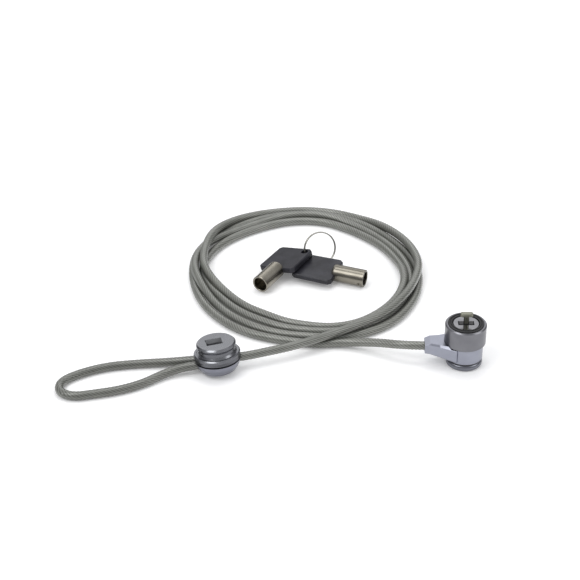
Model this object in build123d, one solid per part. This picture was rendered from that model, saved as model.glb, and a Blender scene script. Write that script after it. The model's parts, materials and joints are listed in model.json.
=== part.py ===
from build123d import *
import math
import os

# A laptop cable lock lying ready for use: lock head, coiled steel cable, end loop held by a round anchor, and
# two tubular keys on a split ring. Millimetres. The origin is on the floor, on the lock head's axis.
# +Z is up, through the T-bar. +X points away from the cable's arm, and +Y is the far side of the coil.

# clearances, and how far a cutting solid runs past the surface that it opens
running_gap = 0.05
fit_gap = 0.02
overshoot = 1.0

# cable
cable_radius = 2.2
cable_rest = 2.25  # height of a resting cable's centreline
lead_height = 6.8  # centreline where the cable lies on other turns
arc_share = 0.45  # share of the shorter run that a corner's arc takes

# lock head
collar_radius = 10.15
collar_low = 12.3
collar_high = 22.9
journal_radius = 7.2
journal_low = 3.4
spigot_radius = 6.8
spigot_low = 0.35
cylinder_radius = 6.0
cylinder_high = 15.4
spindle_hole_radius = 2.25
nose_floor = 18.9
clip_clearance = 0.25
disc_radius = 6.4
disc_low = 19.0
disc_high = 22.9
bumper_seat_low = 20.6
bumper_outer = 8.85
bumper_inner = 6.55
bumper_high = 23.4
bumper_round = 0.35
bumper_groove_inner = 7.45
bumper_groove_outer = 7.9
bumper_groove_low = 23.0
lip_chamfer = 0.5

# yoke and its rings. An arm section is x, width, depth and height
yoke_radius = 9.0
yoke_low = 4.0
yoke_high = 12.0
yoke_round = 0.6
tail_radius = 9.0
tail_high = 3.4
tail_round = 1.5
lower_washer = (7.3, 8.5, 3.45, 3.95)  # inner radius, outer radius, low, high
upper_washer = (7.3, 8.8, 12.02, 12.28)
arm_height = 9.7  # height of the cable where it leaves the arm
arm_sections = [
    (-4.5, 17.2, 8.9, 8.55),
    (-12.5, 10.8, 7.2, 9.5),
    (-17.2, 8.4, 6.3, 10.25),
    (-19.7, 7.2, 5.2, 9.8),
]
arm_end = arm_sections[-1][0]
arm_ridge = 0.74  # share of the half height that the facets' corners take
arm_flat = 0.84  # share of the half width that the top and bottom facets take
arm_clearance = 0.15
ferrule_radius = 2.5
ferrule_start = -11.2
ferrule_end = -16.0
cable_start = -12.0

# lock cylinder
keyway_outer = 4.75
post_radius = 3.6
post_low = 0.55
keyway_floor = 5.9
plug_radius = 5.2
shell_bore = 5.26
shear_height = 10.0
housing_high = 15.2
pin_count = 7
pin_circle = 4.18
pin_radius = 0.55
pin_hole_radius = 0.6
pin_chamfer = 0.12
pin_gap = 0.02
key_pin_low = 6.0  # where the key holds the key pins' tips
driver_high = 11.9
spring_radius = 0.42
spring_low = 11.93
spring_high = 14.68
chamber_high = 14.7
spindle_radius = 2.2
spindle_high = 18.2
clip_outer = 3.6
clip_low = 15.9
clip_high = 16.6
clip_mouth = 2.4
stop_pin_radius = 0.6
stop_pin_circle = 5.05
stop_groove_inner = 4.35
stop_groove_outer = 5.21
stop_pin_low = 7.4
stop_pin_high = 8.7
stop_pin_back = 5.9
stop_clearance = 0.5
stop_margin = 3.0  # degrees of groove past the stop pin at each end
key_turn = 90.0  # degrees

# T-bar
stem_radius = 1.35
stem_low = 17.6
bar_length = 6.2
bar_width = 2.7
bar_low = 27.2
bar_high = 28.8
bar_corner = 1.08
bar_round = 0.55
guide_length = 6.8
guide_width = 2.9
guide_low = 20.4
guide_high = 23.15
guide_corner = 0.7
disc_slot_length = 7.8
disc_slot_width = 3.5
disc_chamfer = 0.25
stem_hole_radius = 1.4

# anchor, in its own frame: bottom centre at the origin, cable bores along x
anchor_place = (-120.35, -7.2)
anchor_yaw = -1.0
anchor_roll = -5.0
anchor_pitch = -5.0
foot_radius = 7.6
flange_radius = 11.4
base_high = 6.0
flange_high = 10.0
flange_chamfer = 0.55
neck_flare = 0.2
neck_radius = 9.25
neck_low = 11.0
neck_high = 12.7
waist_radius = 11.15
waist_height = 8.2
brim_height = 0.6
cap_radius = 9.7
cap_high = 15.2
anchor_round = 0.7
bore_height = 4.4
bore_offset = 2.6
bore_radius = 2.5
window_size = (8.0, 6.2)
window_shift = -0.9
window_yaw = 14.0
top_thickness = 2.4
cavity_radius = 5.4
cavity_low = 9.2
halves_gap = 0.35
crimp_size = (9.0, 11.0, 5.0)
crimp_round = 1.4
crimp_gap = 0.1
base_profile = [
    (0, 0),
    (foot_radius, 0),
    (8.7, 0.7),
    (9.9, 2.4),
    (10.8, 4.2),
    (11.25, base_high),
    (0, base_high),
]
screw_circle = 7.0
screw_radius = 0.9
screw_head_radius = 1.2
screw_head_low = 0.5
screw_head_high = 1.5
screw_high = 9.4
screw_gap = 0.05
driver_slot_length = 1.8
driver_slot_width = 0.5
driver_slot_turn = 30.0

# keys, in their own frame: barrel axis along x
key_outer = 4.6
key_inner = 3.7
key_tip = 16.5
key_floor = 9.5
key_root = -1.4
key_root_round = 1.6
key_tip_chamfer = 0.2
nib_radius = 0.5
nib_place = 14.2
nib_high = 0.7
nib_turn = 110
bow_thickness = 3.0
bow_front = 0.9
bow_back = -21.6
bow_half_width = 11.0
bow_back_half_width = 10.5
bow_corner = 1.7
bow_edge = 0.5
ring_hole = (-18.1, 7.2)
ring_hole_radius = 2.0

# keys and ring on the floor: place, then roll, pitch and yaw in degrees
key_right_place = (-61.25, 76.95, 4.67)
key_right_turn = (1.73, 0.24, -20.8)
key_left_place = (-92.75, 78.1, 6.1)
key_left_turn = (12.93, 2.5, -121.2)
split_ring_radius = 8.85
wire_radius = 0.55
split_ring_place = (-69.46, 94.36, 9.34)
split_ring_turn = (69.53, 21.49)

# coil: bands of four turns, as depths inside an ellipse, evenly spaced clockwise from the near side
coil_centre = (-77.05, 82.0)
coil_half_width = 61.5
coil_half_depth = 67.5
outer_depths = [-2.2, -2.2, -1.6, -1.6, -3.2, -2.8, -2.0, -1.6, -1.0, -1.6, -2.6, -1.0]
inner_depths = [17.2, 21.4, 18.6, 8.8, 10.4, 13.8, 15.4, 16.0, 14.4, 11.4, 9.2, 11.2]
coil_low = 0.02
coil_high = 4.46
hump_high = 8.86
hump_width = 9.4
left_hump = (-138.2, 94.0, 44.0, 54.0)  # x, y and size of the patch where turns lie on one another
right_hump = (-17.2, 80.0, 24.0, 34.0)

head_route = [
    (cable_start, 0.0, arm_height),
    (-27.5, 0.0, arm_height),
    (-42.5, 8.3, 6.1),
    (-57.5, 13.1, 2.9),
    (-74.0, 12.4, cable_rest),
]
anchor_route = [
    (-20.25, 64.5, lead_height),
    (-26.75, 49.5, lead_height),
    (-37.75, 33.4, lead_height),
    (-53.25, 21.9, lead_height),
    (-68.25, 12.1, 7.1),
    (-83.25, 3.9, 7.0),
    (-97.0, -1.2, 6.9),
    (-108.7, -4.4, 6.25),
    (-115.7, -4.3, 5.6),
]
loop_route = [
    (-115.7, -4.3, 5.6),
    (-129.5, -4.06, 4.4),
    (-143.5, -3.9, 2.7),
    (-158.5, -4.6, cable_rest),
    (-174.5, -7.0, cable_rest),
    (-187.5, -12.9, cable_rest),
    (-196.2, -20.0, cable_rest),
    (-196.2, -28.2, cable_rest),
    (-188.9, -32.4, cable_rest),
    (-178.6, -30.0, cable_rest),
    (-167.75, -27.3, cable_rest),
    (-156.75, -22.0, cable_rest),
    (-146.2, -13.4, 2.6),
    (-134.2, -9.15, 4.4),
    (-122.5, -9.35, 5.5),
]


def disc(radius, low, high):
    """A plain round solid on the Z axis between two heights."""
    return Pos(0, 0, low) * Cylinder(radius, high - low, align=(Align.CENTER, Align.CENTER, Align.MIN))


def ring(inner, outer, low, high):
    """A round tube on the Z axis."""
    return disc(outer, low, high) - disc(inner, low - overshoot, high + overshoot)


def block(size_x, size_y, low, high):
    """A box centred on the Z axis between two heights."""
    return Pos(0, 0, low) * Box(size_x, size_y, high - low, align=(Align.CENTER, Align.CENTER, Align.MIN))


def turned(profile):
    """A solid turned about Z from (radius, height) points."""
    face = make_face(Plane.XZ * Polyline(*profile, close=True))
    return revolve(face, Axis.Z)


def around(shape, count, radius):
    """Copies of a shape, evenly round a circle, as a list of separate solids."""
    return [Pos(radius * math.cos(a), radius * math.sin(a), 0) * shape for a in spoke_angles(count)]


def spoke_angles(count):
    return [2 * math.pi * i / count for i in range(count)]


def make_lock_body():
    """Collar, journal for the yoke and bore for the cylinder, in one machined piece."""
    outside = turned([
        (0, spigot_low),
        (spigot_radius, spigot_low),
        (spigot_radius, journal_low),
        (journal_radius, journal_low),
        (journal_radius, collar_low),
        (collar_radius - lip_chamfer, collar_low),
        (collar_radius, collar_low + lip_chamfer),
        (collar_radius, collar_high - lip_chamfer),
        (collar_radius - lip_chamfer, collar_high),
        (0, collar_high),
    ])
    bore = disc(cylinder_radius, 0, cylinder_high)
    clip_room = disc(clip_outer + clip_clearance, cylinder_high - running_gap, clip_high + clip_clearance)
    shaft_hole = disc(spindle_hole_radius, cylinder_high, nose_floor + overshoot)
    disc_pocket = disc(disc_radius + running_gap, nose_floor, collar_high + overshoot)
    bumper_seat = disc(bumper_outer + running_gap, bumper_seat_low, collar_high + overshoot)
    return outside - bore - clip_room - shaft_hole - disc_pocket - bumper_seat


def make_tail_ring():
    """End ring pressed on the body's spigot. It keeps the yoke on and is what the head stands on."""
    body = ring(spigot_radius, tail_radius, 0, tail_high)
    rim = body.edges().filter_by(GeomType.CIRCLE).group_by(SortBy.RADIUS)[-1]
    return fillet(rim, tail_round)


def arm_section(x, width, depth, height):
    """An eight-sided section across the arm."""
    half_y = width / 2
    half_z = depth / 2
    corner_z = half_z * arm_ridge
    flat_y = half_y * arm_flat
    points = [
        (-half_y, -corner_z),
        (-flat_y, -half_z),
        (flat_y, -half_z),
        (half_y, -corner_z),
        (half_y, corner_z),
        (flat_y, half_z),
        (-flat_y, half_z),
        (-half_y, corner_z),
    ]
    plane = Plane(origin=(x, 0, height), x_dir=(0, 1, 0), z_dir=(1, 0, 0))
    return plane * make_face(Polyline(*points, close=True))


def along_x(radius, start, end, height):
    """A round solid along X at a height."""
    length = abs(end - start)
    return Pos((start + end) / 2, 0, height) * Rot(0, 90, 0) * Cylinder(radius, length)


def make_yoke():
    """The ring that turns on the journal, with the tapered arm that holds the cable."""
    hoop = disc(yoke_radius, yoke_low, yoke_high)
    lower_rim = hoop.edges().filter_by(GeomType.CIRCLE).sort_by(Axis.Z)[0]
    hoop = fillet(lower_rim, yoke_round)
    arm = loft([arm_section(*section) for section in arm_sections], ruled=True)
    under_collar = disc(collar_radius + arm_clearance, yoke_high, collar_high)
    body = hoop + (arm - under_collar)
    body = body - disc(journal_radius + running_gap, 0, collar_high)
    body = body - along_x(ferrule_radius + fit_gap, ferrule_start, ferrule_end, arm_height)
    return body - along_x(cable_radius + fit_gap, ferrule_end + overshoot, arm_end - overshoot, arm_height)


def make_ferrule():
    """Steel sleeve swaged on the cable's end, held in the arm."""
    sleeve = along_x(ferrule_radius, ferrule_start, ferrule_end, arm_height)
    return sleeve - along_x(cable_radius + fit_gap, cable_start, ferrule_end - overshoot, arm_height)


def make_cylinder_shell():
    """Fixed sleeve pressed in the body, with the keyway's outer wall and a hole for the stop pin."""
    shell = disc(cylinder_radius, spigot_low, housing_high)
    shell = shell - disc(keyway_outer, 0, keyway_floor)
    shell = shell - disc(shell_bore, keyway_floor, housing_high + overshoot)
    return shell - stop_pin_solid(fit_gap)


def stop_pin_solid(extra):
    """The stop pin's place in the shell's wall, pointing at the plug."""
    start = stop_groove_inner + stop_clearance
    middle_height = (stop_pin_low + stop_pin_high) / 2
    pin = Cylinder(stop_pin_radius + extra, stop_pin_back - start)
    return Pos(0, -(start + stop_pin_back) / 2, middle_height) * Rot(90, 0, 0) * pin


def make_plug():
    """Turning plug: centre post for the key, pin flange with a quarter-turn groove, and spindle."""
    post = disc(post_radius, post_low, shear_height)
    flange = disc(plug_radius, keyway_floor + running_gap, shear_height)
    spindle = disc(spindle_radius, shear_height, spindle_high)
    plug = post + flange + spindle
    for angle in spoke_angles(pin_count):
        centre = Pos(pin_circle * math.cos(angle), pin_circle * math.sin(angle), 0)
        plug = plug - centre * disc(pin_hole_radius, keyway_floor, shear_height + running_gap)
    plug = plug - stop_groove()
    return plug - disc(stem_radius + fit_gap, stem_low, spindle_high + overshoot)


def stop_groove():
    """A groove of a quarter turn and the pin's width, in which the stop pin stands."""
    half_pin = math.degrees(math.asin(stop_pin_radius / stop_groove_inner)) + stop_margin
    start = -key_turn - half_pin
    sweep_angle = key_turn + 2 * half_pin
    profile = Pos((stop_groove_inner + stop_groove_outer) / 2, 0, (stop_pin_low + stop_pin_high) / 2)
    section = Plane.XZ * Rectangle(stop_groove_outer - stop_groove_inner, stop_pin_high - stop_pin_low)
    groove = revolve(profile * section, Axis.Z, revolution_arc=sweep_angle)
    return Rot(0, 0, start) * Rot(0, 0, -90) * groove


def make_pin_housing():
    """Fixed block behind the plug, with a chamber for each driver pin."""
    housing = disc(shell_bore, shear_height + pin_gap, housing_high)
    housing = housing - disc(spindle_hole_radius, 0, housing_high + overshoot)
    for angle in spoke_angles(pin_count):
        centre = Pos(pin_circle * math.cos(angle), pin_circle * math.sin(angle), 0)
        housing = housing - centre * disc(pin_hole_radius, 0, chamber_high)
    return housing


def make_pins(low, high):
    """Seven round pins with softened ends."""
    pin = disc(pin_radius, low, high)
    pin = chamfer(pin.edges().filter_by(GeomType.CIRCLE), pin_chamfer)
    return around(pin, pin_count, pin_circle)


def make_pin_springs():
    """Seven springs, each as the plain outer shape of its coil."""
    spring = disc(spring_radius, spring_low, spring_high)
    return around(spring, pin_count, pin_circle)


def make_clip():
    """Open retaining ring on the spindle."""
    clip = ring(spindle_radius + fit_gap, clip_outer, clip_low, clip_high)
    mouth = block(2 * clip_outer, clip_mouth, clip_low - overshoot, clip_high + overshoot)
    return clip - Pos(clip_outer, 0, 0) * mouth


def make_t_bar():
    """Stem and cross bar, pinned in the spindle."""
    stem = disc(stem_radius, stem_low, bar_low + bar_round)
    bar = block(bar_length, bar_width, bar_low, bar_high)
    bar = fillet(bar.edges().filter_by(Axis.Z), bar_corner)
    bar = fillet(bar.faces().sort_by(Axis.Z)[-1].edges(), bar_round)
    return stem + bar


def make_nose_disc():
    """Polished disc with the slot that the guide stands in."""
    body = disc(disc_radius, disc_low, disc_high)
    body = chamfer(body.edges().filter_by(GeomType.CIRCLE).sort_by(Axis.Z)[-1], disc_chamfer)
    body = body - block(disc_slot_length, disc_slot_width, guide_low, disc_high + overshoot)
    return body - disc(stem_hole_radius, disc_low - overshoot, guide_low + overshoot)


def make_guide():
    """Black guide that fills a laptop's security slot beside the stem."""
    guide = block(guide_length, guide_width, guide_low, guide_high)
    guide = fillet(guide.edges().filter_by(Axis.Z), guide_corner)
    return guide - disc(stem_hole_radius, guide_low - overshoot, guide_high + overshoot)


def make_bumper():
    """Rubber ring, with a groove, that rests against the laptop."""
    body = ring(bumper_inner, bumper_outer, bumper_seat_low, bumper_high)
    body = fillet(body.edges().filter_by(GeomType.CIRCLE).group_by(Axis.Z)[-1], bumper_round)
    return body - ring(bumper_groove_inner, bumper_groove_outer, bumper_groove_low, bumper_high + overshoot)


def anchor_frame():
    """The anchor stands tilted on its foot, so its lowest rim touches the floor."""
    turn = Rot(0, 0, anchor_yaw) * Rot(0, anchor_roll, 0) * Rot(anchor_pitch, 0, 0)
    foot = turn * disc(foot_radius, 0, overshoot)
    lift = fit_gap - foot.bounding_box().min.Z
    return Pos(anchor_place[0], anchor_place[1], lift) * turn


def anchor_bores():
    """The bore that the cable comes in by, and the wide mouth that the loop's two legs share."""
    bore = Pos(0, bore_offset, 0) * along_x(bore_radius, 0, 2 * flange_radius, bore_height)
    leg = along_x(bore_radius, -2 * flange_radius, 0, bore_height)
    between = Pos(-flange_radius, 0, bore_height) * Box(2 * flange_radius, 2 * bore_offset, 2 * bore_radius)
    mouth = Pos(0, bore_offset, 0) * leg + Pos(0, -bore_offset, 0) * leg + between
    return bore + mouth


def crimp_block(extra):
    """The crimp's outer shape, round-ended and grown by a clearance."""
    size_x, size_y, size_z = (value + 2 * extra for value in crimp_size)
    low = bore_height - size_z / 2
    body = block(size_x, size_y, low, low + size_z)
    return fillet(body.edges().filter_by(Axis.X), crimp_round)


def screw_places():
    return [(0.0, screw_circle), (0.0, -screw_circle)]


def make_anchor_base():
    """Lower half: rounded foot, with the cable's bores and the crimp's pocket."""
    body = turned(base_profile)
    body = body - anchor_bores() - crimp_block(crimp_gap)
    pocket_x, pocket_y = (value + 2 * crimp_gap for value in crimp_size[:2])
    body = body - block(pocket_x, pocket_y, bore_height, base_high + overshoot)
    for x, y in screw_places():
        body = body - Pos(x, y, 0) * disc(screw_radius + fit_gap, -overshoot, base_high + overshoot)
        body = body - Pos(x, y, 0) * disc(screw_head_radius + fit_gap, -overshoot, screw_head_high)
    return body


def make_anchor_cap():
    """Upper half: flange and cap, with the window that the T-bar goes into and the room in which it turns."""
    body = turned([
        (0, base_high + halves_gap),
        (flange_radius - flange_chamfer, base_high + halves_gap),
        (flange_radius, base_high + halves_gap + flange_chamfer),
        (waist_radius, waist_height),
        (flange_radius, flange_high - flange_chamfer),
        (flange_radius - flange_chamfer, flange_high),
        (cap_radius + neck_flare, flange_high),
        (neck_radius, neck_low),
        (neck_radius, neck_high),
        (cap_radius, cap_high - anchor_round - brim_height),
        (cap_radius, cap_high - anchor_round),
        (cap_radius - anchor_round, cap_high),
        (0, cap_high),
    ])
    cavity = disc(cavity_radius, cavity_low, cap_high - top_thickness)
    window = Rot(0, 0, window_yaw) * block(*window_size, cavity_low, cap_high + overshoot)
    body = body - Pos(window_shift, 0, 0) * (cavity + window)
    body = body - anchor_bores() - crimp_block(crimp_gap)
    for x, y in screw_places():
        body = body - Pos(x, y, 0) * disc(screw_radius + fit_gap, base_high, screw_high)
    return body


def make_crimp():
    """Two-hole crimp that closes the loop."""
    body = crimp_block(0)
    for y in (bore_offset, -bore_offset):
        hole = along_x(cable_radius + fit_gap, -crimp_size[0], crimp_size[0], bore_height)
        body = body - Pos(0, y, 0) * hole
    return body


def make_anchor_screws():
    """Two countersunk screws from below."""
    screws = []
    for x, y in screw_places():
        head = disc(screw_head_radius, screw_head_low, screw_head_high - screw_gap)
        driver = block(driver_slot_length, driver_slot_width, 0, (screw_head_low + screw_head_high) / 2)
        shank = disc(screw_radius, (screw_head_low + screw_head_high) / 2, screw_high - screw_gap)
        screws.append(Pos(x, y, 0) * (head + shank - Rot(0, 0, driver_slot_turn) * driver))
    return screws


def key_frame(place, turn):
    """Rolls a key about its barrel, tips it, then turns it on the floor."""
    roll, pitch, yaw = turn
    return Pos(*place) * Rot(0, 0, yaw) * Rot(0, pitch, 0) * Rot(roll, 0, 0)


def barrel_solid(radius):
    """The barrel's outer shape, with a rounded root."""
    body = along_x(radius, key_root, key_tip, 0)
    root = body.edges().filter_by(GeomType.CIRCLE).sort_by(Axis.X)[0]
    return fillet(root, key_root_round)


def make_key_barrel():
    """Hollow barrel with locating nibs outside and in."""
    body = barrel_solid(key_outer)
    body = body - along_x(key_inner, key_floor, key_tip + overshoot, 0)
    tip = body.edges().filter_by(GeomType.CIRCLE).group_by(Axis.X)[-1]
    body = chamfer(tip, key_tip_chamfer)
    nib = Pos(nib_place, 0, key_outer) * Cylinder(nib_radius, 2 * nib_high)
    return body + Rot(nib_turn, 0, 0) * nib


def bow_outline():
    """Outline of the bow's far half, from the front edge back."""
    return [
        (bow_front, bow_half_width - bow_corner),
        (bow_front - bow_corner, bow_half_width),
        (bow_back + bow_corner, bow_back_half_width),
        (bow_back, bow_back_half_width - bow_corner),
    ]


def make_key_bow():
    """Flat plastic bow with softened edges, moulded round the barrel's root."""
    half = bow_outline()
    mirrored = [(x, -y) for x, y in reversed(half)]
    plate = extrude(make_face(Polyline(*half, *mirrored, close=True)), bow_thickness / 2, both=True)
    plate = chamfer(plate.faces().filter_by(Plane.XY).edges(), bow_edge)
    plate = plate - barrel_solid(key_outer + fit_gap)
    hole = Pos(ring_hole[0], ring_hole[1], 0) * Cylinder(ring_hole_radius, 2 * bow_thickness)
    return plate - hole


def make_split_ring():
    """The split ring as the plain outer shape of its two turns."""
    tilt, yaw = split_ring_turn
    return Pos(*split_ring_place) * Rot(0, 0, yaw) * Rot(tilt, 0, 0) * Torus(split_ring_radius, wire_radius)


def cord_tube(name, route):
    """A tube of the cable's radius along straight runs joined by tangent arcs."""
    points = [Vector(*p) for p in route]
    runs = [b - a for a, b in zip(points, points[1:])]
    radii = []
    for before, after in zip(runs, runs[1:]):
        turn = math.radians(before.get_angle(after))
        radii.append(arc_share * min(before.length, after.length) / math.tan(turn / 2))
    path = FilletPolyline(*points, radius=radii)
    section = Plane(origin=path @ 0, z_dir=path % 0) * Circle(cable_radius)
    tube = sweep(section, path=path)
    expected = math.pi * cable_radius**2 * path.length
    print(name, "radii", [round(r, 1) for r in radii], "length", round(path.length, 1))
    print(name, "volume", round(tube.volume, 1), "section times length", round(expected, 1))
    return tube


def coil_point(turn, depth):
    """A point at an angle clockwise from the near side, at a depth inside the ellipse."""
    angle = math.radians(-90.0 - turn)
    across = math.cos(angle)
    away = math.sin(angle)
    normal = Vector(across / coil_half_width, away / coil_half_depth).normalized()
    x = coil_centre[0] + coil_half_width * across - depth * normal.X
    y = coil_centre[1] + coil_half_depth * away - depth * normal.Y
    return (x, y)


def coil_outline(depths, inset=0.0):
    """A closed smooth face through points at even angles round the coil."""
    step = 360.0 / len(depths)
    points = [coil_point(step * i, depth + inset) for i, depth in enumerate(depths)]
    return make_face(Spline(*points, periodic=True))


def make_coil():
    """The outer shape of four loose turns: a wide band, with humps where turns lie on one another."""
    outer = coil_outline(outer_depths)
    band = extrude(outer - coil_outline(inner_depths), coil_high)
    edge = extrude(outer - coil_outline(outer_depths, hump_width), hump_high)
    for x, y, size_x, size_y in (left_hump, right_hump):
        band = band + (edge & Pos(x, y, 0) * block(size_x, size_y, 0, hump_high))
    return Pos(0, 0, coil_low) * band


def build():
    """Every sub-part in its place, by node name."""
    anchor = anchor_frame()
    right = key_frame(key_right_place, key_right_turn)
    left = key_frame(key_left_place, key_left_turn)
    return {
        "lock_body": make_lock_body(),
        "tail_ring": make_tail_ring(),
        "swivel_yoke": make_yoke(),
        "lower_washer": ring(*lower_washer),
        "upper_washer": ring(*upper_washer),
        "cable_ferrule": make_ferrule(),
        "cylinder_shell": make_cylinder_shell(),
        "stop_pin": stop_pin_solid(0),
        "plug": make_plug(),
        "pin_housing": make_pin_housing(),
        "key_pins": make_pins(key_pin_low, shear_height),
        "driver_pins": make_pins(shear_height + pin_gap, driver_high),
        "pin_springs": make_pin_springs(),
        "spindle_clip": make_clip(),
        "t_bar": make_t_bar(),
        "nose_disc": make_nose_disc(),
        "slot_guide": make_guide(),
        "bumper_ring": make_bumper(),
        "cable_head_lead": cord_tube("cable_head_lead", head_route),
        "cable_coil": make_coil(),
        "cable_anchor_lead": cord_tube("cable_anchor_lead", anchor_route),
        "cable_loop": cord_tube("cable_loop", loop_route),
        "anchor_base": anchor * make_anchor_base(),
        "anchor_cap": anchor * make_anchor_cap(),
        "loop_crimp": anchor * make_crimp(),
        "anchor_screws": [anchor * screw for screw in make_anchor_screws()],
        "key_barrel_right": right * make_key_barrel(),
        "key_bow_right": right * make_key_bow(),
        "key_barrel_left": left * make_key_barrel(),
        "key_bow_left": left * make_key_bow(),
        "split_ring": make_split_ring(),
    }


os.makedirs("parts", exist_ok=True)
for node, shape in build().items():
    solids = shape if isinstance(shape, list) else shape.solids()
    export_step(Compound(children=list(solids)), f"parts/{node}.step")
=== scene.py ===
import json
import math
import bpy
from mathutils import Matrix, Vector


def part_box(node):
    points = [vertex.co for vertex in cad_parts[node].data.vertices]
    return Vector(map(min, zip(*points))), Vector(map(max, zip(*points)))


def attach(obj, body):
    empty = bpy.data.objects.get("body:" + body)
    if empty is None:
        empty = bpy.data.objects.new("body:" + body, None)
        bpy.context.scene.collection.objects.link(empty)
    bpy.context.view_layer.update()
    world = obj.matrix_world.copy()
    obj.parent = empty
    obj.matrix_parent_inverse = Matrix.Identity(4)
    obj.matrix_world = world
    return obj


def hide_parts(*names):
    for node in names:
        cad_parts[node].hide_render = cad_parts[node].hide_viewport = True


# A laptop cable lock. One twisted cable and a two-turn wire ring take the place of their CAD solids, and
# every other CAD node keeps its shape and gets a material.

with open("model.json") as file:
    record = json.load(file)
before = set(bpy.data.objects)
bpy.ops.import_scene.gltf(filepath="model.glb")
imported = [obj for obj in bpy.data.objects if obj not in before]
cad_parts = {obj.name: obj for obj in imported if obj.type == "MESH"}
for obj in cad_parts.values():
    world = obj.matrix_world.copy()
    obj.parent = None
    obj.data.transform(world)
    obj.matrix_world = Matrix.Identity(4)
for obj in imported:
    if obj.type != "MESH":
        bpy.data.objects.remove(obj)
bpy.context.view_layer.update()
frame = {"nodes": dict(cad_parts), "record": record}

MM = 0.001

# ---------------------------------------------------------------- camera

CAMERA_PLACE = (-0.08557, -0.65382, 0.45043)
CAMERA_AIM = (-0.08557, 0.06702, 0.0)
CAMERA_LENS = 99.8
SENSOR_WIDTH = 36.0


def make_camera():
    data = bpy.data.cameras.new("camera")
    data.sensor_width = SENSOR_WIDTH
    data.lens = CAMERA_LENS
    data.clip_start = 0.01
    data.clip_end = 20.0
    camera = bpy.data.objects.new("camera", data)
    bpy.context.scene.collection.objects.link(camera)
    camera.location = CAMERA_PLACE
    aim = Vector(CAMERA_AIM) - Vector(CAMERA_PLACE)
    camera.rotation_euler = aim.to_track_quat("-Z", "Y").to_euler()
    bpy.context.scene.camera = camera


# ---------------------------------------------------------------- cable route

# The points steer a smooth spline, which takes CABLE_STEPS steps from one to the next. REST is the height
# of the cable's middle where it lies on the floor.

CABLE_DIAMETER = 0.0044
REST = 0.00225
CABLE_STEPS = 14

HEAD_ROUTE = [
    (-0.012, 0.0, 0.0097),
    (-0.0275, 0.0, 0.0097),
    (-0.0425, 0.0083, 0.0061),
    (-0.0575, 0.0131, 0.0029),
    (-0.074, 0.0124, REST),
]
ANCHOR_ROUTE = [
    (-0.02025, 0.0645, 0.0068),
    (-0.02675, 0.0495, 0.0068),
    (-0.03775, 0.0334, 0.0068),
    (-0.05325, 0.0219, 0.0068),
    (-0.06825, 0.0121, 0.0071),
    (-0.08325, 0.0039, 0.007),
    (-0.097, -0.0012, 0.0069),
    (-0.1087, -0.0044, 0.00625),
    (-0.1157, -0.0043, 0.0056),
]
LOOP_ROUTE = [
    (-0.1295, -0.00406, 0.0044),
    (-0.1435, -0.0039, 0.0027),
    (-0.1585, -0.0046, REST),
    (-0.1745, -0.007, REST),
    (-0.1875, -0.0129, REST),
    (-0.1962, -0.02, REST),
    (-0.1962, -0.0282, REST),
    (-0.1889, -0.0324, REST),
    (-0.1786, -0.03, REST),
    (-0.16775, -0.0273, REST),
    (-0.15675, -0.022, REST),
    (-0.1462, -0.0134, 0.0026),
    (-0.1342, -0.00915, 0.0044),
    (-0.1225, -0.00935, 0.0055),
]

# The coil's turns are placed by how far they lie inside this ellipse, its outline.

COIL_CENTRE = (-0.07705, 0.082)
COIL_HALF_WIDTH = 0.0615
COIL_HALF_DEPTH = 0.0675
COIL_STEP = 15
NEAR_SIDE = -90.0

# Each turn as (degrees clockwise from the near side, millimetres inside the ellipse, millimetres high).
# The height is 2.25 where the cable lies on the floor.
TURNS = [
    [(15, 0.0, 2.25), (30, -0.6, 2.25), (60, 0.3, 2.25), (75, 0.9, 2.25), (90, 0.6, 2.25),
     (105, -0.6, 2.25), (120, 0.4, 2.25), (135, 2.8, 2.25), (150, 4.0, 2.25), (180, 4.6, 2.25),
     (210, 4.8, 2.25), (225, 5.2, 2.25), (240, 4.6, 2.25), (255, 2.6, 2.25), (270, 0.9, 2.25),
     (285, 0.2, 2.25), (300, -0.6, 2.25), (315, -1.8, 2.25), (330, -1.0, 2.25), (345, 1.4, 2.25)],
    [(0, 4.6, 2.25), (30, 5.8, 2.25), (60, 5.6, 2.6), (75, 3.8, 5.2), (90, 1.2, 6.65),
     (105, 1.6, 5.9), (120, 4.0, 4.4), (135, 6.8, 2.5), (150, 8.2, 2.6), (165, 8.2, 3.6),
     (180, 8.3, 4.6), (195, 8.4, 4.2), (210, 9.2, 2.6), (225, 9.8, 2.25), (240, 9.2, 2.25),
     (255, 7.4, 2.25), (270, 5.5, 2.25), (285, 4.7, 2.25), (300, 4.0, 2.25), (315, 3.6, 2.25),
     (330, 4.6, 2.25), (345, 6.8, 2.25)],
    [(0, 9.8, 2.25), (30, 12.6, 2.25), (60, 11.2, 2.25), (75, 8.6, 2.25), (90, 5.6, 2.25),
     (105, 6.4, 2.25), (120, 8.2, 2.25), (135, 10.8, 2.25), (150, 12.4, 2.25), (180, 12.0, 2.25),
     (195, 12.3, 2.25), (210, 14.2, 2.25), (225, 14.4, 2.25), (240, 13.0, 2.25), (255, 11.6, 2.6),
     (270, 9.4, 4.2), (285, 7.6, 5.4), (300, 6.8, 4.8), (315, 7.4, 3.6), (330, 8.8, 2.4),
     (345, 11.0, 2.25)],
    [(0, 14.8, 2.25), (30, 18.8, 2.25), (60, 16.0, 2.6), (75, 11.4, 5.0), (90, 6.2, 6.8),
     (105, 4.9, 8.4), (120, 2.4, 8.2), (135, 0.5, 5.7), (150, 0.1, 3.8), (165, 0.1, 2.5),
     (180, 0.1, 2.25), (210, 0.5, 2.25), (225, 1.7, 4.7), (240, 1.9, 6.0), (255, 1.1, 6.6),
     (270, 0.6, 6.8)],
]


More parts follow.
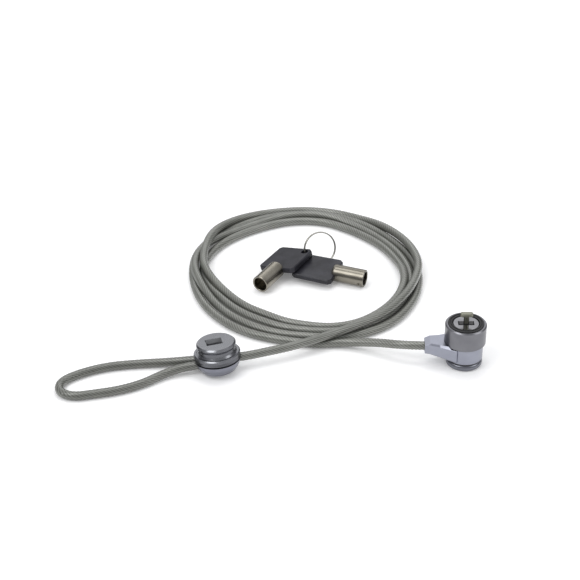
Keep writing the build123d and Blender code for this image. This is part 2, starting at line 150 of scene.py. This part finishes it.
def between(keys, turn):
    """Depth and height at an angle, straight between the keys."""
    for (start, start_depth, start_high), (stop, stop_depth, stop_high) in zip(keys, keys[1:]):
        if turn <= stop:
            share = (turn - start) / (stop - start)
            depth = start_depth + (stop_depth - start_depth) * share
            return depth, start_high + (stop_high - start_high) * share
    return keys[-1][1:]


def coil_points():
    points = []
    for keys in TURNS:
        for turn in range(keys[0][0], keys[-1][0] + 1, COIL_STEP):
            depth, high = between(keys, turn)
            angle = math.radians(NEAR_SIDE - turn)
            across, away = math.cos(angle), math.sin(angle)
            normal = Vector((across / COIL_HALF_WIDTH, away / COIL_HALF_DEPTH, 0.0)).normalized()
            x = COIL_CENTRE[0] + COIL_HALF_WIDTH * across - MM * depth * normal.x
            y = COIL_CENTRE[1] + COIL_HALF_DEPTH * away - MM * depth * normal.y
            points.append((x, y, MM * high))
    return points


def spline_points(name, points, resolution):
    """Points read along a smooth NURBS spline with these control points."""
    curve = bpy.data.curves.new(name, "CURVE")
    curve.dimensions = "3D"
    curve.resolution_u = resolution
    spline = curve.splines.new("NURBS")
    spline.points.add(len(points) - 1)
    for point, place in zip(spline.points, points):
        point.co = (*place, 1.0)
    spline.order_u = 3
    spline.use_endpoint_u = True
    holder = bpy.data.objects.new(name, curve)
    bpy.context.scene.collection.objects.link(holder)
    line = bpy.data.meshes.new_from_object(holder)
    places = [v.co.copy() for v in line.vertices]
    bpy.data.objects.remove(holder)
    bpy.data.curves.remove(curve)
    bpy.data.meshes.remove(line)
    return places


def frames_along(places):
    """A tangent and a side vector at each point, carried along with no twist of their own."""
    last = len(places) - 1
    tangents = [
        (places[min(i + 1, last)] - places[max(i - 1, 0)]).normalized() for i in range(last + 1)
    ]
    side = tangents[0].orthogonal().normalized()
    frames = []
    before = tangents[0]
    for tangent in tangents:
        side = before.rotation_difference(tangent) @ side
        side = (side - tangent * side.dot(tangent)).normalized()
        frames.append((tangent, side))
        before = tangent
    return frames


def unwrap_tube(mesh, count, travel):
    """UVs for a tube: the share of the way round, and the metres along. An end cap has one point."""
    uv = mesh.uv_layers.new(name="along")
    walls = (len(travel) - 1) * count
    for index, face in enumerate(mesh.polygons):
        step = index % count
        for loop, vert in zip(face.loop_indices, face.vertices):
            if index >= walls:
                uv.data[loop].uv = (0.5, 0.0)
                continue
            ring, corner = divmod(vert, count)
            far_corner = 1 if corner != step else 0
            uv.data[loop].uv = ((step + far_corner) / count, travel[ring])


def tube(name, places, section, twist_length=None):
    """Returns a tube and its length. Its section, (angle, radius) points, turns once in a twist length."""
    count = len(section)
    travel = [0.0]
    for a, b in zip(places, places[1:]):
        travel.append(travel[-1] + (b - a).length)
    verts = []
    for place, (tangent, side), along in zip(places, frames_along(places), travel):
        up = tangent.cross(side)
        turn = 2 * math.pi * along / twist_length if twist_length else 0.0
        for angle, radius in section:
            verts.append(place + radius * (math.cos(angle + turn) * side + math.sin(angle + turn) * up))
    faces = []
    for low in range(0, (len(places) - 1) * count, count):
        for i in range(count):
            j = (i + 1) % count
            faces.append((low + i, low + j, low + count + j, low + count + i))
    end = (len(places) - 1) * count
    faces.append(tuple(reversed(range(count))))
    faces.append(tuple(range(end, end + count)))
    mesh = bpy.data.meshes.new(name)
    mesh.from_pydata([tuple(v) for v in verts], [], faces)
    unwrap_tube(mesh, count, travel)
    mesh.shade_smooth()
    mesh.update()
    piece = bpy.data.objects.new(name, mesh)
    bpy.context.scene.collection.objects.link(piece)
    return piece, travel[-1]


# Strands round the cable, mesh points on each, length of one full twist, and depth of the valleys between.
STRANDS = 9
STRAND_POINTS = 4
STRAND_LAY = 0.017
VALLEY = 0.00014
VALLEY_SHARPNESS = 3


def cable_section():
    """A round section with a shallow valley between neighbouring strands."""
    count = STRANDS * STRAND_POINTS
    radius = CABLE_DIAMETER / 2
    section = []
    for i in range(count):
        valley = abs(math.cos(math.pi * i / STRAND_POINTS)) ** VALLEY_SHARPNESS
        section.append((2 * math.pi * i / count, radius - VALLEY * valley))
    return section


def make_cable():
    route = HEAD_ROUTE + coil_points() + ANCHOR_ROUTE + LOOP_ROUTE
    places = spline_points("cable_line", route, CABLE_STEPS)
    piece, length = tube("cable", places, cable_section(), STRAND_LAY)
    piece.data.materials.append(materials["cable"])
    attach(piece, "fitting")
    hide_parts("cable_head_lead", "cable_coil", "cable_anchor_lead", "cable_loop")


# ---------------------------------------------------------------- materials

materials = {}


class Nodes:
    """Builds one material's node tree."""

    def __init__(self, name):
        self.material = bpy.data.materials.new(name)
        self.material.use_nodes = True
        self.tree = self.material.node_tree
        self.shader = self.tree.nodes["Principled BSDF"]
        self.place = self.add("ShaderNodeTexCoord").outputs["Object"]

    def add(self, kind, **settings):
        node = self.tree.nodes.new(kind)
        for key, value in settings.items():
            setattr(node, key, value)
        return node

    def link(self, source, target):
        self.tree.links.new(source, target)

    def scaled(self, size):
        """The place vector times a number for each axis."""
        mapping = self.add("ShaderNodeMapping")
        mapping.inputs["Scale"].default_value = size
        self.link(self.place, mapping.inputs["Vector"])
        return mapping.outputs["Vector"]

    def noise(self, size, detail, vector=None):
        node = self.add("ShaderNodeTexNoise")
        node.inputs["Scale"].default_value = size
        node.inputs["Detail"].default_value = detail
        self.link(vector or self.place, node.inputs["Vector"])
        return node.outputs["Fac"]

    def spread(self, source, low, high, start=0.3, stop=0.7):
        """Maps a value from its own range to another."""
        node = self.add("ShaderNodeMapRange")
        node.inputs["From Min"].default_value = start
        node.inputs["From Max"].default_value = stop
        node.inputs["To Min"].default_value = low
        node.inputs["To Max"].default_value = high
        self.link(source, node.inputs["Value"])
        return node.outputs["Result"]

    def math(self, operation, a, b):
        node = self.add("ShaderNodeMath", operation=operation)
        for socket, value in zip(node.inputs, (a, b)):
            if isinstance(value, (int, float)):
                socket.default_value = value
            else:
                self.link(value, socket)
        return node.outputs[0]

    def blend(self, share, first, second):
        """A colour between two others."""
        node = self.add("ShaderNodeMix", data_type="RGBA")
        self.link(share, node.inputs["Factor"])
        for socket, value in ((node.inputs[6], first), (node.inputs[7], second)):
            if isinstance(value, tuple):
                socket.default_value = (*value, 1.0)
            else:
                self.link(value, socket)
        return node.outputs[2]

    def edge(self, radius):
        """Near 1 along edges and 0 on open faces."""
        bevel = self.add("ShaderNodeBevel", samples=4)
        bevel.inputs["Radius"].default_value = radius
        geometry = self.add("ShaderNodeNewGeometry")
        dot = self.add("ShaderNodeVectorMath", operation="DOT_PRODUCT")
        self.link(bevel.outputs["Normal"], dot.inputs[0])
        self.link(geometry.outputs["Normal"], dot.inputs[1])
        return self.spread(dot.outputs["Value"], 1.0, 0.0, start=0.80, stop=0.985)

    def steep(self):
        """Near 1 on walls and undersides, and 0 on faces that look up."""
        geometry = self.add("ShaderNodeNewGeometry")
        parts = self.add("ShaderNodeSeparateXYZ")
        self.link(geometry.outputs["Normal"], parts.inputs["Vector"])
        return self.spread(parts.outputs["Z"], 1.0, 0.0, start=0.25, stop=0.92)

    def within(self, centre, radius, top):
        """1 inside a round room: within its radius, and either on a wall or below its top."""
        offset = self.add("ShaderNodeVectorMath", operation="SUBTRACT")
        self.link(self.place, offset.inputs[0])
        offset.inputs[1].default_value = centre
        flat = self.add("ShaderNodeVectorMath", operation="MULTIPLY")
        self.link(offset.outputs["Vector"], flat.inputs[0])
        flat.inputs[1].default_value = (1.0, 1.0, 0.0)
        length = self.add("ShaderNodeVectorMath", operation="LENGTH")
        self.link(flat.outputs["Vector"], length.inputs[0])
        near = self.spread(length.outputs["Value"], 1.0, 0.0, start=radius, stop=radius + 0.4 * MM)
        parts = self.add("ShaderNodeSeparateXYZ")
        self.link(self.place, parts.inputs["Vector"])
        below = self.spread(parts.outputs["Z"], 1.0, 0.0, start=top - 0.6 * MM, stop=top)
        return self.math("MULTIPLY", near, self.math("MAXIMUM", below, self.steep()))

    def open_sky(self, reach):
        """1 where nothing is close by, falling towards 0 in gaps."""
        occlusion = self.add("ShaderNodeAmbientOcclusion", samples=8)
        occlusion.inputs["Distance"].default_value = reach
        return occlusion.outputs["AO"]

    def bump(self, height, strength, distance):
        node = self.add("ShaderNodeBump")
        node.inputs["Strength"].default_value = strength
        node.inputs["Distance"].default_value = distance
        self.link(height, node.inputs["Height"])
        self.link(node.outputs["Normal"], self.shader.inputs["Normal"])


# Noise scales, in cells for each metre: slow changes of tone, the grain of metal, and the pits of plastic.
METAL_CLOUD = 140.0
METAL_GRAIN = 3600.0
PLASTIC_CLOUD = 120.0
PLASTIC_PITS = 1800.0
CABLE_CLOUD = 90.0

# Widths of the worn edges and depth of the grain, in metres, and how much of the worn colour shows.
METAL_EDGE = 0.00025
METAL_GRAIN_DEPTH = 0.000001
PLASTIC_EDGE = 0.0003
PLASTIC_WEAR = 0.25

# A metal's worn colour is its own times a gain and raised a little, and a plastic's tone moves part of the
# way to its light colour. Roughness swings between these shares of the one given.
WORN_GAIN = 1.3
WORN_LIFT = 0.03
PLASTIC_MIX = 0.3
METAL_SWING = (0.98, 1.03)
PLASTIC_SWING = (0.85, 1.15)
# The plain colour painted in a room as painted light.
INSIDE_PAINTED_LIGHT = (0.34, 0.345, 0.355)


def metal(name, colour, dark, rough, grain=(1.0, 1.0, 1.0), wear=0.2, side=None, inside=None):
    """Plated or machined metal: clouded colour, fine grain and brighter edges.

    side is a darker colour painted on its walls and undersides as painted shade. The last argument is a
    room, for Nodes.within, painted a plain lighter colour as painted light, and not metallic.
    """
    n = Nodes(name)
    cloud = n.spread(n.noise(METAL_CLOUD, detail=2.0), 0.0, 1.0)
    tone = n.blend(cloud, dark, colour)
    # Painted shade: walls and undersides take the darker side colour.
    if side:
        tone = n.blend(n.steep(), tone, side)
    bright = tuple(min(1.0, c * WORN_GAIN + WORN_LIFT) for c in colour)
    finish = n.blend(n.math("MULTIPLY", n.edge(METAL_EDGE), wear), tone, bright)
    n.shader.inputs["Metallic"].default_value = 1.0
    # Painted light: the room takes a plain lighter colour and is not metallic.
    if inside:
        painted_light_share = n.within(*inside)
        finish = n.blend(painted_light_share, finish, INSIDE_PAINTED_LIGHT)
        n.link(n.math("SUBTRACT", 1.0, painted_light_share), n.shader.inputs["Metallic"])
    n.link(finish, n.shader.inputs["Base Color"])
    fine = n.noise(METAL_GRAIN, detail=2.0, vector=n.scaled(grain))
    n.link(n.spread(fine, *(rough * share for share in METAL_SWING)), n.shader.inputs["Roughness"])
    n.bump(fine, strength=0.2, distance=METAL_GRAIN_DEPTH)
    materials[name] = n.material


def plastic(name, colour, light, rough, pit=0.00003, gloss=0.5):
    """Moulded plastic or rubber: a fine pitted surface, paler along its edges."""
    n = Nodes(name)
    cloud = n.spread(n.noise(PLASTIC_CLOUD, detail=3.0), 0.0, 1.0)
    mixed = tuple((1 - PLASTIC_MIX) * own + PLASTIC_MIX * pale for own, pale in zip(colour, light))
    tone = n.blend(cloud, colour, mixed)
    edge = n.math("MULTIPLY", n.edge(PLASTIC_EDGE), PLASTIC_WEAR)
    n.link(n.blend(edge, tone, light), n.shader.inputs["Base Color"])
    pits = n.noise(PLASTIC_PITS, detail=2.0)
    n.link(n.spread(pits, *(rough * share for share in PLASTIC_SWING)), n.shader.inputs["Roughness"])
    n.bump(pits, strength=0.35, distance=pit)
    n.shader.inputs["Specular IOR Level"].default_value = gloss
    materials[name] = n.material


# Colours of the strands, of the gaps between their wires and between strands, and of the painted shade
# that darkens the cable between turns, on its underside and along the loop.
STRAND_DARK = (0.215, 0.22, 0.195)
STRAND_LIGHT = (0.285, 0.29, 0.262)
WIRE_GAP = (0.09, 0.093, 0.076)
STRAND_GAP = (0.045, 0.047, 0.038)
CABLE_SHADE = (0.035, 0.037, 0.03)
# Wires counted round the cable and along each metre, the depth between them, and how near another surface
# must be for painted shade to darken a gap.
WIRES_AROUND = 26.0
WIRES_ALONG = 620.0
WIRE_DEPTH = 0.00012
SHADE_REACH = 0.005
# The loop is painted a little darker than the coil, as painted shade. The painted shade deepens over this
# stretch, in metres from the head's end.
LOOP_SHADE = (1.50, 1.62)


def cable_material():
    """Twisted steel strands under a thin clear sheath, with painted shade in gaps between turns, on the
    underside and along the loop.
    """
    n = Nodes("cable")
    uv = n.add("ShaderNodeUVMap", uv_map="along")
    parts = n.add("ShaderNodeSeparateXYZ")
    n.link(uv.outputs["UV"], parts.inputs["Vector"])
    around = parts.outputs["X"]
    along = parts.outputs["Y"]
    half = n.math("PINGPONG", n.math("MULTIPLY", around, float(STRANDS)), 0.5)
    valley = n.spread(half, 1.0, 0.0, start=0.0, stop=0.26)
    phase_around = n.math("MULTIPLY", around, WIRES_AROUND)
    phase_along = n.math("MULTIPLY", along, WIRES_ALONG)
    wire = n.math("PINGPONG", n.math("ADD", phase_around, phase_along), 0.5)
    wire_dark = n.spread(wire, 1.0, 0.0, start=0.0, stop=0.3)
    cloud = n.spread(n.noise(CABLE_CLOUD, detail=3.0), 0.0, 1.0)
    steel = n.blend(cloud, STRAND_DARK, STRAND_LIGHT)
    lined = n.blend(n.math("MULTIPLY", wire_dark, 0.45), steel, WIRE_GAP)
    strands = n.blend(n.math("MULTIPLY", valley, 0.85), lined, STRAND_GAP)
    # Painted shade: the loop darkens towards CABLE_SHADE over LOOP_SHADE.
    shaded = n.blend(n.spread(along, 0.0, 0.3, *LOOP_SHADE), strands, CABLE_SHADE)
    # Painted shade: the colour darkens towards CABLE_SHADE where occlusion finds other surfaces close, in
    # gaps between turns and under the cable.
    clear = n.spread(n.open_sky(SHADE_REACH), 0.72, 1.0, start=0.25, stop=0.8)
    n.link(n.blend(clear, CABLE_SHADE, shaded), n.shader.inputs["Base Color"])
    n.shader.inputs["Metallic"].default_value = 0.35
    n.link(n.spread(wire_dark, 0.32, 0.55, start=0.0, stop=1.0), n.shader.inputs["Roughness"])
    n.shader.inputs["Coat Weight"].default_value = 0.8
    n.shader.inputs["Coat Roughness"].default_value = 0.12
    n.bump(wire, strength=0.5, distance=WIRE_DEPTH)
    materials["cable"] = n.material


# The grain of a turned part runs round it, so its noise is squeezed along the upright axis.
TURNED_GRAIN = (1.0, 1.0, 9.0)
# The room seen through the anchor's window, painted lighter as painted light: its radius, and how far its
# ceiling is below the cap's top.
WINDOW_REACH = 0.0062
WINDOW_DEPTH = 0.0022


def make_materials():
    metal("gunmetal", (0.20, 0.20, 0.215), (0.17, 0.17, 0.185), 0.30, grain=TURNED_GRAIN)
    metal("tail_dark", (0.21, 0.215, 0.245), (0.18, 0.185, 0.21), 0.28, grain=TURNED_GRAIN)
    metal("satin_silver", (0.32, 0.33, 0.385), (0.29, 0.30, 0.35), 0.30)
    low, high = (Vector(corner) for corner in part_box("anchor_cap"))
    window = ((low + high) / 2, WINDOW_REACH, high.z - WINDOW_DEPTH)
    # The cap's walls are painted darker as painted shade, and the room under its window lighter as painted
    # light.
    metal("cap_metal", (0.25, 0.255, 0.27), (0.22, 0.225, 0.24), 0.26, wear=0.08,
          side=(0.14, 0.143, 0.155), inside=window)
    metal("base_metal", (0.24, 0.245, 0.285), (0.20, 0.205, 0.24), 0.30)
    metal("polished_steel", (0.24, 0.24, 0.25), (0.16, 0.16, 0.17), 0.16)
    metal("steel", (0.42, 0.41, 0.37), (0.33, 0.32, 0.29), 0.28)
    metal("bar_steel", (0.26, 0.26, 0.21), (0.21, 0.21, 0.17), 0.30)
    metal("brass", (0.60, 0.50, 0.30), (0.50, 0.40, 0.22), 0.30)
    metal("nickel", (0.33, 0.308, 0.262), (0.24, 0.224, 0.188), 0.26)
    # A darker, shaded copy of the nickel for the right key's barrel: painted shade.
    metal("nickel_shaded", (0.27, 0.252, 0.214), (0.20, 0.187, 0.157), 0.28)
    plastic("black_plastic", (0.018, 0.018, 0.020), (0.07, 0.07, 0.075), 0.45)
    plastic("rubber", (0.014, 0.014, 0.015), (0.04, 0.04, 0.042), 0.62)
    plastic("bow_plastic", (0.013, 0.013, 0.017), (0.08, 0.08, 0.10), 0.33, pit=0.00001, gloss=0.27)
    cable_material()


# Nodes whose look differs from that of their record slot.
NODE_MATERIALS = {
    "tail_ring": "tail_dark",
    "anchor_cap": "cap_metal",
    "anchor_base": "base_metal",
    "t_bar": "bar_steel",
    "key_barrel_right": "nickel_shaded",
}


def dress_nodes():
    """Each carried-over CAD node gets its own material, or its slot's."""
    slots = {part["node"]: part["material_slot"] for part in frame["record"]["subparts"]}
    for name, piece in frame["nodes"].items():
        if name not in slots:
            continue
        piece.data.materials.clear()
        piece.data.materials.append(materials[NODE_MATERIALS.get(name, slots[name])])


# ---------------------------------------------------------------- split ring

# How the ring stands: its tilt and then its turn about the upright axis, in degrees. The wire is RING_WIRE
# in radius and slightly flattened, and its second turn lies RING_PITCH beside the first. RING_START is the
# angle of its first end, in radians.
RING_TILT = 69.53
RING_YAW = 21.49
RING_TURNS = 2
RING_RADIUS = 0.00885
RING_PITCH = 0.00072
RING_WIRE = 0.00035
RING_FLATTENING = 0.04
RING_START = 1.2
RING_POINTS = 96
RING_STEPS = 4
RING_SIDES = 12
# The wire steps from its lower turn to its upper one over this share of its length.
RING_STEP_START = 0.42
RING_STEP_SHARE = 0.16


def make_split_ring():
    """A ring of wire that goes round twice."""
    low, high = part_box("split_ring")
    centre = (Vector(low) + Vector(high)) / 2
    tilt = Matrix.Rotation(math.radians(RING_TILT), 4, "X")
    turn = Matrix.Rotation(math.radians(RING_YAW), 4, "Z") @ tilt
    points = []
    for i in range(RING_POINTS + 1):
        share = i / RING_POINTS
        angle = 2 * math.pi * RING_TURNS * share + RING_START
        climb = max(0.0, min(1.0, (share - RING_STEP_START) / RING_STEP_SHARE))
        rise = RING_PITCH * (climb - 0.5)
        place = Vector((RING_RADIUS * math.cos(angle), RING_RADIUS * math.sin(angle), rise))
        points.append(tuple(centre + turn @ place))
    places = spline_points("ring_line", points, RING_STEPS)
    section = []
    for i in range(RING_SIDES):
        angle = 2 * math.pi * i / RING_SIDES
        section.append((angle, RING_WIRE * (1.0 + RING_FLATTENING * math.cos(2 * angle))))
    piece, _ = tube("split_ring_wire", places, section)
    piece.data.materials.append(materials["steel"])
    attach(piece, "key_ring")
    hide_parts("split_ring")


# ---------------------------------------------------------------- studio

FLOOR_HALF = 6.0


def make_floor():
    mesh = bpy.data.meshes.new("floor")
    corners = [(x * FLOOR_HALF, y * FLOOR_HALF, 0) for x, y in ((-1, -1), (1, -1), (1, 1), (-1, 1))]
    mesh.from_pydata(corners, [], [(0, 1, 2, 3)])
    floor = bpy.data.objects.new("floor", mesh)
    bpy.context.scene.collection.objects.link(floor)
    n = Nodes("floor")
    n.shader.inputs["Base Color"].default_value = (0.95, 0.95, 0.95, 1.0)
    n.shader.inputs["Roughness"].default_value = 0.9
    n.shader.inputs["Emission Color"].default_value = (1.0, 1.0, 1.0, 1.0)
    n.shader.inputs["Emission Strength"].default_value = 0.15
    n.shader.inputs["Specular IOR Level"].default_value = 0.1
    mesh.materials.append(n.material)


# The world's colour by the height of the direction: 0 at the horizon and below it, 1 straight up.
WORLD_STEPS = [
    (0.0, (0.08, 0.08, 0.085)),
    (0.25, (0.25, 0.25, 0.26)),
    (0.5, (0.58, 0.585, 0.60)),
    (1.0, (0.66, 0.665, 0.68)),
]

# Soft boxes as (name, place, size, power), all turned to LIGHT_AIM.
LIGHT_AIM = (-0.08, 0.05, 0.0)
LIGHTS = [
    ("key", (-0.55, -0.35, 0.85), (0.5, 0.5), 3.0),
    ("fill", (0.75, -0.25, 0.6), (0.45, 0.5), 1.6),
    ("top", (-0.05, 0.30, 1.2), (0.8, 0.5), 3.4),
    ("back", (-0.1, 1.4, 0.9), (1.6, 0.7), 3.5),
]


def area_light(name, place, size, power):
    data = bpy.data.lights.new(name, "AREA")
    data.shape = "RECTANGLE"
    data.size, data.size_y = size
    data.energy = power
    light = bpy.data.objects.new(name, data)
    bpy.context.scene.collection.objects.link(light)
    light.location = place
    light.rotation_euler = (Vector(LIGHT_AIM) - Vector(place)).to_track_quat("-Z", "Y").to_euler()


def make_light():
    """A dim horizon and a bright ceiling, with soft boxes at the left, at the right, above and behind."""
    world = bpy.data.worlds.new("studio")
    bpy.context.scene.world = world
    world.use_nodes = True
    tree = world.node_tree
    background = tree.nodes["Background"]
    background.inputs["Strength"].default_value = 1.0
    place = tree.nodes.new("ShaderNodeTexCoord")
    parts = tree.nodes.new("ShaderNodeSeparateXYZ")
    ramp = tree.nodes.new("ShaderNodeValToRGB")
    tree.links.new(place.outputs["Generated"], parts.inputs["Vector"])
    tree.links.new(parts.outputs["Z"], ramp.inputs["Fac"])
    tree.links.new(ramp.outputs["Color"], background.inputs["Color"])
    stops = ramp.color_ramp.elements
    stops[0].color = (*WORLD_STEPS[0][1], 1.0)
    stops[1].color = (*WORLD_STEPS[-1][1], 1.0)
    for position, colour in WORLD_STEPS[1:-1]:
        stops.new(position).color = (*colour, 1.0)
    for light in LIGHTS:
        area_light(*light)
    bpy.context.scene.view_settings.view_transform = "Standard"


make_camera()
make_materials()
dress_nodes()
make_cable()
make_split_ring()
make_floor()
make_light()
